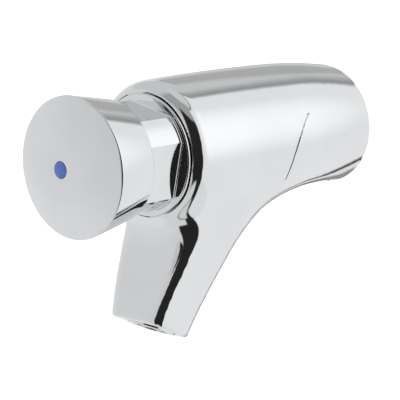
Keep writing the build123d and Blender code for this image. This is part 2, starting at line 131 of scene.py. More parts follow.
class ShaderBench:
    """A node tree on which nodes are set down by one method."""

    def __init__(self, tree: bpy.types.NodeTree) -> None:
        """Takes the tree of a material or of the world and clears it."""
        self.tree = tree
        tree.nodes.clear()

    def node(
        self,
        kind: str,
        settings: Optional[dict[str, Any]] = None,
        inputs: Optional[Sockets] = None,
    ) -> Node:
        """Adds a node, sets it, then fills its sockets.

        Args:
            kind: Blender's name of the node type.
            settings: The node's own settings.
            inputs: Values or links by socket name or number.

        Returns:
            The node.
        """
        made = self.tree.nodes.new(kind)
        for name, value in (settings or {}).items():
            setattr(made, name, value)
        for name, value in (inputs or {}).items():
            self.fill(made.inputs[name], value)
        return made

    def fill(self, socket: Socket, value: Any) -> None:
        """Fills one input socket.

        Args:
            socket: The socket.
            value: A signal or another socket that is linked to it, or its constant.
        """
        if isinstance(value, Signal):
            value = value.socket
        if isinstance(value, Socket):
            self.tree.links.new(value, socket)
        else:
            socket.default_value = value

    def number(self, kind: str, settings: dict[str, Any], inputs: Sockets) -> Signal:
        """Adds a node, see ShaderBench.node, and returns its first output as a number."""
        return Signal(self, self.node(kind, settings, inputs).outputs[0])

    def place(self) -> Socket:
        """Object coordinates."""
        return self.node("ShaderNodeTexCoord").outputs["Object"]

    def axes(self, vector: Socket) -> tuple[Signal, Signal, Signal]:
        """The X, Y and Z of a vector."""
        split = self.node("ShaderNodeSeparateXYZ", {}, {0: vector})
        return tuple(Signal(self, output) for output in split.outputs)

    def noise(
        self, vector: Any, scale: float, detail: float = 2.0, roughness: float = 0.5
    ) -> Signal:
        """Soft noise around 0.5, with so many lumps per metre and finer layers in them."""
        inputs = {"Vector": vector, "Scale": scale, "Detail": detail, "Roughness": roughness}
        return self.number("ShaderNodeTexNoise", {}, inputs)

    def blend(self, factor: Any, first: Colour, second: Colour) -> Socket:
        """A colour between two.

        Args:
            factor: 0 for the first, 1 for the second.
            first: Red, green and blue.
            second: Red, green and blue.

        Returns:
            The colour's socket.
        """
        inputs = {"Factor": factor, "A": (*first, 1.0), "B": (*second, 1.0)}
        made = self.node("ShaderNodeMix", {"data_type": "RGBA"})
        for socket in made.inputs:
            if socket.enabled and socket.name in inputs:
                self.fill(socket, inputs[socket.name])
        return next(output for output in made.outputs if output.enabled)

    def mix(self, factor: Any, first: Node, second: Node) -> Node:
        """A shader between those of two nodes, with 0 for the first and 1 for the second."""
        inputs = {0: factor, 1: first.outputs[0], 2: second.outputs[0]}
        return self.node("ShaderNodeMixShader", {}, inputs)

    def bump(self, height: Signal, depth: float) -> Socket:
        """A normal that follows a height from 0 to 1, where 1 is so many metres."""
        inputs = {"Strength": 1.0, "Distance": depth, "Height": height}
        return self.node("ShaderNodeBump", {}, inputs).outputs["Normal"]


class Body(Enum):
    """The bodies of the frame that the pieces move with."""

    TAP = "tap"
    KNOB = "knob"


@dataclass(frozen=True)
class Finish:
    """What every finish has: a name, the record's slot and a colour."""

    name: str
    slot: str
    colour: Colour

    def shade(self, bench: ShaderBench) -> dict[str, Any]:
        """The Principled shader's values and links by socket name, made on a material's tree."""
        raise NotImplementedError

    def darker(self, share: float) -> Colour:
        """The finish's colour, of which only a share is left."""
        return tuple(part * share for part in self.colour)

    def material(self) -> bpy.types.Material:
        """Makes the material once and hands it out afterwards.

        Returns:
            The material.
        """
        found = bpy.data.materials.get(self.name)
        if found:
            return found
        made = bpy.data.materials.new(self.name)
        made.use_nodes = True
        bench = ShaderBench(made.node_tree)
        shader = bench.node("ShaderNodeBsdfPrincipled", {}, self.shade(bench))
        bench.node("ShaderNodeOutputMaterial", {}, {"Surface": shader.outputs[0]})
        return made

    def dress(self, piece: Piece) -> None:
        """Gives a piece this finish in every material slot.

        Args:
            piece: The piece or CAD node.
        """
        material = self.material()
        if not piece.material_slots:
            piece.data.materials.append(material)
        for place in piece.material_slots:
            place.material = material


@dataclass(frozen=True)
class Plated(Finish):
    """Polished plating: nearly even, with faint wipe marks."""

    colour: Colour = (0.80, 0.81, 0.82)
    roughness: float = 0.045
    wipe: float = 0.03
    smears: float = 45.0
    grains: float = 900.0

    def shade(self, bench: ShaderBench) -> dict[str, Any]:
        """Even metal with faint smears.

        Args:
            bench: The material's tree.

        Returns:
            What Finish.shade returns.
        """
        place = bench.place()
        smear = bench.noise(place, self.smears, 3.0)
        grain = bench.noise(place, self.grains, 2.0)
        wiped = smear.step(0.45, 0.8) * self.wipe
        return {
            "Base Color": bench.blend(smear.step(0.35, 0.7), self.colour, self.darker(0.965)),
            "Metallic": 1.0,
            "Roughness": wiped + grain * 0.01 + self.roughness,
        }


@dataclass(frozen=True)
class Enamel(Finish):
    """Glossy coloured enamel, as on the cold index."""

    colour: Colour = (0.02, 0.075, 0.34)
    roughness: float = 0.2
    clouds: float = 700.0

    def shade(self, bench: ShaderBench) -> dict[str, Any]:
        """See Finish.shade."""
        cloud = bench.noise(bench.place(), self.clouds, 2.0)
        return {
            "Base Color": bench.blend(cloud.step(0.3, 0.7), self.colour, self.darker(0.8)),
            "Roughness": cloud * 0.05 + self.roughness,
            "Coat Weight": 1.0,
            "Coat Roughness": 0.04,
        }


@dataclass(frozen=True)
class Turned(Finish):
    """Bare metal from the lathe, with fine tool marks round the inlet axis."""

    roughness: float = 0.22
    marks: float = 0.000012
    mark_count: float = 5200.0
    face_share: float = 0.7
    stains: float = 160.0

    def shade(self, bench: ShaderBench) -> dict[str, Any]:
        """Metal with rings and stains.

        Args:
            bench: The material's tree.

        Returns:
            What Finish.shade returns.
        """
        place = bench.place()
        x, y, z = bench.axes(place)
        across = (x * x + z * z) ** 0.5
        along = (y + across * self.face_share) * self.mark_count
        one_way = {"noise_dimensions": "1D"}
        rings = bench.number("ShaderNodeTexNoise", one_way, {"W": along, "Scale": 1.0})
        stain = bench.noise(place, self.stains, 4.0, 0.6)
        worn = stain.step(0.35, 0.75) * 0.6 + rings * 0.25
        return {
            "Base Color": bench.blend(worn, self.colour, self.darker(0.72)),
            "Metallic": 1.0,
            "Roughness": stain * 0.12 + rings * 0.08 + self.roughness,
            "Normal": bench.bump(rings, self.marks),
        }


@dataclass(frozen=True)
class Rubber(Finish):
    """Matt rubber or pressed fibre with a fine grain."""

    colour: Colour = (0.022, 0.022, 0.024)
    speck: Colour = (0.045, 0.044, 0.043)
    roughness: float = 0.62
    grains: float = 1500.0
    grain_depth: float = 0.00002
    blooms: float = 90.0

    def shade(self, bench: ShaderBench) -> dict[str, Any]:
        """Matt, with specks and bloom.

        Args:
            bench: The material's tree.

        Returns:
            What Finish.shade returns.
        """
        place = bench.place()
        grain = bench.noise(place, self.grains, 3.0, 0.6)
        bloom = bench.noise(place, self.blooms, 2.0)
        specks = grain.step(0.5, 0.75) * 0.6 + bloom.step(0.5, 0.8) * 0.3
        return {
            "Base Color": bench.blend(specks, self.colour, self.speck),
            "Roughness": grain * 0.14 + self.roughness,
            "Normal": bench.bump(grain, self.grain_depth),
        }


@dataclass(frozen=True)
class Moulded(Finish):
    """Moulded plastic or synthetic stone with a faint cloudiness."""

    roughness: float = 0.34
    cloud: float = 0.06
    clouds: float = 260.0
    pores: float = 2400.0
    pore_depth: float = 0.000004

    def shade(self, bench: ShaderBench) -> dict[str, Any]:
        """Half matt, with soft clouds.

        Args:
            bench: The material's tree.

        Returns:
            What Finish.shade returns.
        """
        place = bench.place()
        cloud = bench.noise(place, self.clouds, 3.0)
        darker = self.darker(1.0 - 2.0 * self.cloud)
        return {
            "Base Color": bench.blend(cloud.step(0.3, 0.75), self.colour, darker),
            "Roughness": cloud * 0.1 + self.roughness,
            "Normal": bench.bump(bench.noise(place, self.pores, 2.0), self.pore_depth),
        }


def rounded(corners: Sequence[Corner], steps: int) -> list[Point]:
    """Turns an outline's corners into points, with an arc where a corner has a rounding.

    Args:
        corners: Each corner's place on the axis, its radius and its rounding.
        steps: The pieces of each arc.

    Returns:
        Places on the axis and radii.
    """
    points: list[Point] = []
    for index, (place, radius, size) in enumerate(corners):
        corner = Vector((place, radius))
        if not size:
            points.append((place, radius))
            continue
        before = (Vector(corners[index - 1][:2]) - corner).normalized()
        after = (Vector(corners[(index + 1) % len(corners)][:2]) - corner).normalized()
        half = before.angle(after) / 2
        middle = corner + (before + after).normalized() * (size / math.sin(half))
        start = corner + before * (size / math.tan(half)) - middle
        end = corner + after * (size / math.tan(half)) - middle
        for step in range(steps + 1):
            spoke = start.lerp(end, step / steps).normalized() * size
            points.append(tuple(middle + spoke))
    return points


def stepped(place: float, *bores: Point) -> list[Point]:
    """The corners of bores of several radii behind one another.

    Args:
        place: Where the first bore starts.
        *bores: Each bore's radius and its end.

    Returns:
        Places on the axis and radii.
    """
    points: list[Point] = []
    for radius, end in bores:
        points += [(place, radius), (end, radius)]
        place = end
    return points


def through(first: Point, middle: Point, last: Point, steps: int) -> list[Point]:
    """Points along the circle's arc that runs through three points.

    Args:
        first: Where the arc starts.
        middle: A point that it passes.
        last: Where it ends.
        steps: The pieces of the arc.

    Returns:
        The arc's points, both ends included.
    """
    start, passing, end = Vector(first), Vector(middle), Vector(last)
    one, two = passing - start, end - start
    turn = 2.0 * (one.x * two.y - one.y * two.x)
    across = (two.y * one.length_squared - one.y * two.length_squared) / turn
    along = (one.x * two.length_squared - two.x * one.length_squared) / turn
    centre = start + Vector((across, along))
    spoke = start - centre
    sweep = 2.0 * math.asin(min(1.0, two.length / (2.0 * spoke.length)))
    sweep = sweep if turn > 0 else -sweep
    angles = [sweep * step / steps for step in range(steps + 1)]
    return [tuple(centre + Matrix.Rotation(angle, 2) @ spoke) for angle in angles]


def leave_edit() -> None:
    """Leaves edit mode."""
    bpy.ops.object.mode_set(mode="OBJECT")


def free() -> None:
    """Leaves edit mode if an object is in it, and deselects every object."""
    if bpy.context.object and bpy.context.object.mode != "OBJECT":
        leave_edit()
    bpy.ops.object.select_all(action="DESELECT")


def take(piece: Piece) -> None:
    """Selects one object alone and makes it active.

    Args:
        piece: The object.
    """
    free()
    piece.select_set(True)
    bpy.context.view_layer.objects.active = piece


def edit(piece: Piece) -> None:
    """Takes one object into edit mode, with everything selected.

    Args:
        piece: The object.
    """
    take(piece)
    bpy.ops.object.mode_set(mode="EDIT")
    bpy.ops.mesh.select_all(action="SELECT")


def settle() -> None:
    """Applies the selected object's place, turn and scale to its mesh."""
    bpy.ops.object.transform_apply(location=True, rotation=True, scale=True)


def modify(piece: Piece, kind: str, **settings: Any) -> None:
    """Adds a modifier and applies it.

    Args:
        piece: The object.
        kind: Blender's name of the modifier.
        **settings: The modifier's settings.
    """
    take(piece)
    modifier = piece.modifiers.new(kind.lower(), kind)
    for name, value in settings.items():
        setattr(modifier, name, value)
    bpy.ops.object.modifier_apply(modifier=modifier.name)


def join(first: Piece, *others: Piece) -> Piece:
    """Joins objects into the first.

    Args:
        first: The object that stays.
        *others: The objects that go into it.

    Returns:
        The first object.
    """
    take(first)
    for other in others:
        other.select_set(True)
    bpy.ops.object.join()
    return first


def cut(piece: Piece, tool: Piece) -> None:
    """Cuts a piece with a tool, which is used up."""
    modify(piece, "BOOLEAN", object=tool, operation="DIFFERENCE", solver="EXACT")
    bpy.data.objects.remove(tool, do_unlink=True)


def slice_off(piece: Piece, point: Corner, normal: Corner) -> None:
    """Cuts off what lies beyond a plane and closes the cut.

    Args:
        piece: The object.
        point: A point on the plane.
        normal: The plane's normal, towards what goes.
    """
    edit(piece)
    bpy.ops.mesh.bisect(plane_co=point, plane_no=normal, use_fill=True, clear_outer=True)
    leave_edit()


def close_up(piece: Piece) -> None:
    """Merges doubled points, closes open ends and turns the faces outwards.

    Args:
        piece: The object.
    """
    edit(piece)
    bpy.ops.mesh.remove_doubles(threshold=SAME_PLACE)
    bpy.ops.mesh.select_all(action="SELECT")
    bpy.ops.mesh.fill_holes(sides=0)
    bpy.ops.mesh.select_all(action="SELECT")
    bpy.ops.mesh.normals_make_consistent(inside=False)
    leave_edit()


def keep_largest(piece: Piece) -> Piece:
    """Keeps the largest of a piece's loose shells.

    Args:
        piece: The object.

    Returns:
        The largest shell, under the piece's name.
    """
    edit(piece)
    bpy.ops.mesh.separate(type="LOOSE")
    leave_edit()
    shells = sorted(bpy.context.selected_objects, key=lambda shell: shell.dimensions.length)
    largest = shells.pop()
    name = piece.name
    for shell in shells:
        bpy.data.objects.remove(shell, do_unlink=True)
    largest.name = largest.data.name = name
    return largest


def wind(profile: Piece, rise: float, turns: int, steps: int) -> None:
    """Winds a profile about the inlet axis into a helix.

    Args:
        profile: The profile, beside the axis.
        rise: How far it climbs in a turn.
        turns: The number of turns.
        steps: The pieces of each turn.
    """
    modify(
        profile,
        "SCREW",
        axis="Y",
        angle=2 * math.pi,
        steps=steps,
        render_steps=steps,
        screw_offset=rise * MM,
        iterations=turns,
        use_merge_vertices=False,
    )


def hand_over(piece: Piece, sharp: float, body: Body, finish: Finish, *nodes: str) -> None:
    """Shades a piece, dresses it and gives it to the frame.

    Args:
        piece: The piece.
        sharp: The angle above which its edges stay sharp.
        body: The body that it moves with.
        finish: Its finish.
        *nodes: The CAD nodes that it stands for.
    """
    take(piece)
    bpy.ops.object.shade_smooth_by_angle(angle=math.radians(sharp))
    finish.dress(piece)
    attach(piece, body.value)
    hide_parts(*nodes)
    faces = len(piece.data.polygons)
    log.info("%s: %d faces, %s, on %s", piece.name, faces, finish.name, body.value)


@dataclass
class SubAssembly:
    """What sub-assemblies share: a finish, and outlines that are turned about the inlet axis."""

    finish: Finish
    facets: ClassVar[int] = 180

    @staticmethod
    def trace(name: str, points: Sequence[Vector], closed: bool = True) -> Piece:
        """Draws a line point by point, as extruded vertices.

        Args:
            name: The object's name.
            points: The line's points, in metres.
            closed: Whether the last point is joined to the first.

        Returns:
            The object, in edit mode with everything selected.
        """
        free()
        bpy.ops.mesh.primitive_plane_add(size=MM, enter_editmode=True, location=(0, 0, 0))
        piece = bpy.context.object
        piece.name = piece.data.name = name
        bpy.ops.mesh.merge(type="CENTER")
        bpy.ops.transform.translate(value=points[0])
        for last, point in zip(points, [*points[1:], *(points[:1] if closed else [])]):
            bpy.ops.mesh.extrude_region_move(TRANSFORM_OT_translate={"value": point - last})
        bpy.ops.mesh.select_all(action="SELECT")
        bpy.ops.mesh.remove_doubles(threshold=SAME_PLACE)
        bpy.ops.mesh.select_all(action="SELECT")
        return piece

    def turn(self, name: str, outline: Sequence[Point]) -> Piece:
        """Turns an outline about the inlet axis into a closed piece.

        Args:
            name: The piece's name.
            outline: Places on the axis and radii, either round the section or, for a solid
                piece, from the axis back to the axis.

        Returns:
            The piece.
        """
        points = [Vector((radius * MM, place * MM, 0.0)) for place, radius in outline]
        piece = self.trace(name, points, closed=points[0].x > SAME_PLACE)
        bpy.ops.mesh.spin(steps=self.facets, angle=2 * math.pi, center=(0, 0, 0), axis=(0, 1, 0))
        bpy.ops.mesh.select_all(action="SELECT")
        bpy.ops.mesh.remove_doubles(threshold=SAME_PLACE)
        bpy.ops.mesh.normals_make_consistent(inside=False)
        leave_edit()
        return piece


@dataclass
class TapCasting(SubAssembly):
    """The chromed casting, barrel and spout in one, faired from its frame."""

    voxel: float = 0.7
    fairing_rounds: int = 12
    fairing_steps: int = 3
    fairing_shrink: float = 0.55
    fairing_swell: float = -0.58
    sharp: float = 32.0
    rim_place: float = -95.3
    rim_flat_radius: float = 19.0
    rim_round: float = 5.5
    rim_steps: int = 5
    seat_radius: float = 20.9
    seat_floor: float = -92.8
    chamber_radius: float = 16.5
    web_front: float = -48.0
    web_rear: float = -43.0
    web_bore: float = 9.05
    inlet_chamber_radius: float = 10.0
    nipple_front: float = -18.5
    nipple_radius: float = 10.53
    recess_floor: float = -4.5
    recess_radius: float = 15.0
    recess_ledge: float = 1.0
    wall_radius: float = 22.1
    outlet_centre: Corner = (0.0, -93.379, -58.925)
    outlet_tilt: float = 26.0
    nozzle_radius: float = 8.45
    nozzle_floor: float = 6.1
    waterway_radius: float = 4.5
    waterway_rise: float = 48.0
    overshoot: float = 3.0
    overlap: float = 0.05
    crown: tuple[Point, Point, Point] = ((-89.8, 24.5), (-60.9, 24.95), (-32.0, 24.7))
    junction: Corner = (17.5, -91.5, -16.5)
    junction_reach: float = 12.0
    junction_rounds: int = 150
    junction_steepness: float = 2.0
    crease_low: Point = (-48.4, -12.5)
    crease_top: Point = (-37.2, 9.6)
    crease_bow: float = 3.3
    crease_width: float = 0.72
    crease_depth: float = 0.85
    crease_fade: float = 0.5
    crease_stand: float = 0.3
    crease_steps: int = 20

    def to_outlet(self, piece: Piece) -> Piece:
        """Lays a piece turned about the inlet axis onto the outlet's axis.

        Args:
            piece: The piece, with +Y as its way out.

        Returns:
            The same piece, its place in its mesh.
        """
        tilt = math.radians(self.outlet_tilt)
        out = Vector((0.0, -math.sin(tilt), -math.cos(tilt)))
        take(piece)
        turned = Vector((0, 1, 0)).rotation_difference(out).to_matrix().to_4x4()
        piece.matrix_world = Matrix.Translation(Vector(self.outlet_centre) * MM) @ turned
        settle()
        return piece

    def front_plug(self) -> Piece:
        """Closes the nut's seat, carrying the rim's rounding on to a flat front.

        Returns:
            The plug.
        """
        edge = self.seat_radius + self.overlap
        reach = edge - self.rim_flat_radius
        lip = self.rim_place + self.rim_round - math.sqrt(self.rim_round**2 - reach**2)
        outline = [(self.rim_place, 0.0), (self.rim_place, self.rim_flat_radius)]
        for step in range(1, self.rim_steps):
            lean = math.asin(reach / self.rim_round) * step / self.rim_steps
            radius = self.rim_flat_radius + self.rim_round * math.sin(lean)
            outline.append((self.rim_place + self.rim_round * (1.0 - math.cos(lean)), radius))
        outline += [(lip, edge), (lip + self.overshoot, edge), (lip + self.overshoot, 0.0)]
        return self.turn("front", outline)

    def skin(self) -> Piece:
        """The casting's outer skin, with its mouths closed.

        Returns:
            The skin, as even quads.
        """
        source = frame["nodes"]["tap_body"]
        skin = bpy.data.objects.new("casting", source.data.copy())
        bpy.context.scene.collection.objects.link(skin)
        edit(skin)
        bpy.ops.mesh.remove_doubles(threshold=SAME_PLACE)
        leave_edit()
        over, wall = self.overshoot, self.wall_radius
        ledge = self.recess_radius + self.recess_ledge
        plug = [(-over, 0.0), (-over, ledge), (0.0, wall), (over, wall), (over, 0.0)]
        rear = self.turn("rear", plug)
        rim = self.nozzle_radius + self.overlap
        disc = [(-over, 0.0), (-over, rim), (0.0, rim), (0.0, 0.0)]
        mouth = self.to_outlet(self.turn("mouth", disc))
        join(skin, self.front_plug(), rear, mouth)
        modify(skin, "REMESH", mode="VOXEL", voxel_size=self.voxel * MM, adaptivity=0.0)
        return keep_largest(skin)

    def bores(self) -> Piece:
        """Everything that is bored along the inlet axis, as one tool.

        Returns:
            The tool.
        """
        front = self.rim_place - self.overshoot
        steps = stepped(
            front,
            (self.seat_radius, self.seat_floor),
            (self.chamber_radius, self.web_front),
            (self.web_bore, self.web_rear),
            (self.inlet_chamber_radius, self.nipple_front),
            (self.nipple_radius, self.recess_floor),
            (self.recess_radius, self.overshoot),
        )
        return self.turn("bores", [(front, 0.0), *steps, (self.overshoot, 0.0)])

    def outlet_bores(self) -> Piece:
        """The nozzle's bore and the waterway behind it, as one tool.

        Returns:
            The tool.
        """
        rear, waterway = -self.waterway_rise, (self.waterway_radius, -self.nozzle_floor)
        steps = stepped(rear, waterway, (self.nozzle_radius, self.overshoot))
        outline = [(rear, 0.0), *steps, (self.overshoot, 0.0)]
        return self.to_outlet(self.turn("outlet_bores", outline))

    def barrel_radius(self, place: float) -> float:
        """The barrel's radius at a place on its axis.

        Args:
            place: The place.

        Returns:
            The radius.
        """
        (front, front_radius), (middle, crown), (rear, rear_radius) = self.crown
        run = (place - middle) / (rear - middle)
        taper = rear_radius - crown if place > middle else front_radius - crown
        return crown + taper * run * run

    def crease(self, side: int) -> Piece:
        """The shallow crease on one flank of the barrel, as a tool of three-sided section.

        Args:
            side: 1 for the flank at +X, -1 for the other.

        Returns:
            The tool.
        """
        low, top = Vector(self.crease_low), Vector(self.crease_top)
        middle = (low + top) / 2 - Vector((self.crease_bow, 0.0))
        path = through(tuple(top), tuple(middle), tuple(low), self.crease_steps)
        sections = []
        for index, (place, height) in enumerate(path):
            share = 1.0 - self.crease_fade * index / (len(path) - 1)
            half = share * self.crease_width / 2
            surface = math.sqrt(self.barrel_radius(place) ** 2 - height**2)
            outside, inside = surface + self.crease_stand, surface - share * self.crease_depth
            ring = [(outside, place - half), (outside, place + 3 * half), (inside, place - half)]
            points = [Vector((side * x * MM, y * MM, height * MM)) for x, y in ring]
            sections.append(self.trace(f"crease_{index}", points))
            leave_edit()
        tool = join(*sections)
        edit(tool)
        bpy.ops.mesh.select_mode(type="EDGE")
        bpy.ops.mesh.bridge_edge_loops()
        bpy.ops.mesh.select_mode(type="VERT")
        leave_edit()
        close_up(tool)
        return tool

    def fair_junction(self, casting: Piece) -> None:
        """Lets the rim flow into the spout's corners, where the frame has many small faces.

        Args:
            casting: The casting's skin.
        """
        group = casting.vertex_groups.new(name="junction")
        centre = Vector(self.junction) * MM
        for vertex in casting.data.vertices:
            place = Vector((abs(vertex.co.x), vertex.co.y, vertex.co.z))
            near = 1.0 - (place - centre).length / (self.junction_reach * MM)
            if near > 0.0:
                weight = min(1.0, near * self.junction_steepness)
                group.add([vertex.index], weight, "REPLACE")
        rounds = self.junction_rounds
        modify(casting, "SMOOTH", factor=0.5, iterations=rounds, vertex_group=group.name)

    def build(self) -> None:
        """Makes the casting."""
        casting = self.skin()
        for _ in range(self.fairing_rounds):
            for factor in (self.fairing_shrink, self.fairing_swell):
                modify(casting, "SMOOTH", factor=factor, iterations=self.fairing_steps)
        self.fair_junction(casting)
        slice_off(casting, (0, 0, 0), (0, 1, 0))
        for tool in (self.bores, self.outlet_bores):
            cut(casting, tool())
        for side in (1, -1):
            cut(casting, self.crease(side))
        hand_over(casting, self.sharp, Body.TAP, self.finish, "tap_body")


@dataclass
class PushKnob(SubAssembly):
    """The knob that is pushed: a turned cap with a slightly domed face, and its index."""

    apex: float = -132.95
    rim: float = -128.25
    rear: float = -111.75
    rim_radius: float = 23.0
    rear_radius: float = 20.2
    rim_edge: float = 0.4
    rear_edge: float = 0.35
    skirt_radius: float = 19.05
    skirt_round: float = 0.8
    inside: float = -125.9
    boss_radius: float = 7.0
    boss_end: float = -117.9
    boss_round: float = 0.5
    boss_edge: float = 0.3
    rod_bore: float = 4.05
    rod_front: float = -126.45
    screw_seat: float = -128.35
    screw_bore: float = 1.6
    pocket_radius: float = 2.75
    pocket_edge: float = 0.15
    index_radius: float = 2.7
    index_dome: float = 0.3
    index_fullness: float = 0.75
    index_bead: Point = (0.12, 0.02)
    index_thickness: float = 1.6
    face_steps: int = 24
    arc_steps: int = 6
    dome_steps: int = 8
    sharp: float = 28.0
    index_sharp: float = 50.0

    def face_place(self, radius: float) -> float:
        """Where the domed face stands at a radius.

        Args:
            radius: The radius.

        Returns:
            The place on the axis.
        """
        rise = self.rim - self.apex
        ball = (self.rim_radius**2 + rise**2) / (2.0 * rise)
        return self.apex + ball - math.sqrt(ball**2 - radius**2)

    def cap(self) -> None:
        """Turns the knob itself."""
        corners = [(self.face_place(self.pocket_radius), self.pocket_radius, self.pocket_edge)]
        for step in range(1, self.face_steps):
            width = self.rim_radius - self.pocket_radius
            radius = self.pocket_radius + width * step / self.face_steps
            corners.append((self.face_place(radius), radius, 0.0))
        corners += [
            (self.rim, self.rim_radius, self.rim_edge),
            (self.rear, self.rear_radius, self.rear_edge),
            (self.rear, self.skirt_radius, self.rear_edge),
            (self.inside, self.skirt_radius, self.skirt_round),
            (self.inside, self.boss_radius, self.boss_round),
            (self.boss_end, self.boss_radius, self.boss_edge),
            (self.boss_end, self.rod_bore, self.boss_edge),
            (self.rod_front, self.rod_bore, 0.0),
            (self.rod_front, self.screw_bore, 0.0),
            (self.screw_seat, self.screw_bore, 0.0),
            (self.screw_seat, self.pocket_radius, 0.0),
        ]
        knob = self.turn("knob_cap", rounded(corners, self.arc_steps))
        hand_over(knob, self.sharp, Body.KNOB, self.finish, "push_knob")

    def index(self, enamel: Finish) -> None:
        """Turns the blue button in the knob's centre.

        Args:
            enamel: Its finish.
        """
        radius, thick = self.index_radius, self.apex + self.index_thickness
        dome = through(
            (-self.index_dome, 0.0),
            (-self.index_dome * self.index_fullness, radius / 2),
            (0.0, radius),
            self.dome_steps,
        )
        outline = [(self.apex + place, across) for place, across in dome]
        back, out = self.index_bead
        outline += [(self.apex + back, radius + out), (thick, radius), (thick, 0.0)]
        button = self.turn("index_button", outline)
        hand_over(button, self.index_sharp, Body.KNOB, enamel, "cold_index")


@dataclass
class HeadNut(SubAssembly):
    """The nut that holds the cartridge down: a flange, and a neck with four wrench flats."""

    neck_front: float = -118.05
    neck_radius: float = 18.65
    neck_edge: float = 0.5
    mouth_edge: float = 0.3
    flat_distance: float = 16.05
    flat_turn: float = -12.1
    flats: int = 4
    mill_depth: float = 6.0
    mill_overrun: float = 2.0
    mill_width: float = 1.7
    flange_face: float = -96.1
    flange_back: float = -93.8
    flange_radius: float = 20.45
    flange_edge: float = 0.6
    back_edge: float = 0.2
    root_round: float = 0.7
    arc_steps: int = 8
    thread_radius: float = 16.45
    thread_lead: float = 0.6
    rear: float = -79.8
    spring_pocket: float = 12.5
    spring_floor: float = -107.05
    pocket_round: float = 0.4
    rod_bore: float = 4.2
    bush_front: float = -105.3
    bush_bore: float = 7.05
    ring_front: float = -94.85
    ring_rear: float = -93.8
    ring_bore: float = 7.75
    sleeve_floor: float = -92.8
    sleeve_bore: float = 13.45
    sharp: float = 24.0

    def blank(self) -> Piece:
        """Turns the nut before its flats are cut.

        Returns:
            The nut.
        """
        inside = stepped(
            self.sleeve_floor,
            (self.bush_bore, self.ring_rear),
            (self.ring_bore, self.ring_front),
            (self.bush_bore, self.bush_front),
            (self.rod_bore, self.spring_floor),
        )
        corners = [
            (self.neck_front, self.spring_pocket, self.mouth_edge),
            (self.neck_front, self.neck_radius, self.neck_edge),
            (self.flange_face, self.neck_radius, self.root_round),
            (self.flange_face, self.flange_radius, self.flange_edge),
            (self.flange_back, self.flange_radius, self.back_edge),
            (self.flange_back, self.thread_radius, 0.0),
            (self.rear, self.thread_radius, self.thread_lead),
            (self.rear, self.sleeve_bore, self.mouth_edge),
            (self.sleeve_floor, self.sleeve_bore, 0.0),
            *((place, radius, 0.0) for place, radius in inside),
            (self.spring_floor, self.spring_pocket, self.pocket_round),
        ]
        return self.turn("nut_neck", rounded(corners, self.arc_steps))

    def flat_tool(self) -> Piece:
        """A block that mills one flat, with the flat's root rounded.

        Returns:
            The block.
        """
        free()
        length = self.flange_face - self.neck_front + self.mill_overrun
        middle = self.flat_distance + self.mill_depth / 2
        width = self.mill_width * self.neck_radius * MM
        bpy.ops.mesh.primitive_cube_add(
            size=1.0,
            enter_editmode=True,
            location=(middle * MM, (self.flange_face - length / 2) * MM, 0.0),
            scale=(self.mill_depth * MM, length * MM, width),
        )
        tool = bpy.context.object
        bpy.ops.mesh.select_all(action="DESELECT")
        leave_edit()
        settle()
        inner, root = self.flat_distance * MM, self.flange_face * MM
        for corner in tool.data.vertices:
            off = max(abs(corner.co.x - inner), abs(corner.co.y - root))
            corner.select = off < SAME_PLACE
        for edge in tool.data.edges:
            edge.select = all(tool.data.vertices[index].select for index in edge.vertices)
        bpy.ops.object.mode_set(mode="EDIT")
        bpy.ops.mesh.select_mode(type="EDGE")
        bpy.ops.mesh.bevel(offset=self.root_round * MM, segments=self.arc_steps, affect="EDGES")
        bpy.ops.mesh.select_mode(type="VERT")
        leave_edit()
        return tool

    def build(self) -> None:
        """Makes the nut."""
        nut = self.blank()
        for index in range(self.flats):
            tool = self.flat_tool()
            angle = -math.radians(self.flat_turn + 360.0 * index / self.flats)
            tool.matrix_world = Matrix.Rotation(angle, 4, "Y")
            take(tool)
            settle()
            cut(nut, tool)
        hand_over(nut, self.sharp, Body.TAP, self.finish, "head_nut")


@dataclass
class Nozzle(SubAssembly):
    """The chromed ring that is screwed into the spout's end."""

    length: float = 5.0
    stand: float = 0.5
    radius: float = 8.4
    bore: float = 7.0
    lip_bore: float = 6.0
    lip: float = 1.0
    edges: tuple[float, float, float, float] = (0.2, 0.4, 0.3, 0.25)
    arc_steps: int = 5
    sharp: float = 35.0

    def build(self, casting: TapCasting) -> None:
        """Makes the ring.

        Args:
            casting: The casting, which knows the outlet's axis.
        """
        inner_rear, outer_rear, outer_front, inner_front = self.edges
        corners = [
            (-self.length, self.bore, inner_rear),
            (-self.length, self.radius, outer_rear),
            (self.stand, self.radius, outer_front),
            (self.stand, self.lip_bore, inner_front),
            (self.stand - self.lip, self.lip_bore, 0.0),
            (self.stand - self.lip, self.bore, 0.0),
        ]
        ring = self.turn("nozzle_lip", rounded(corners, self.arc_steps))
        casting.to_outlet(ring)
        hand_over(ring, self.sharp, Body.TAP, self.finish, "nozzle_ring")


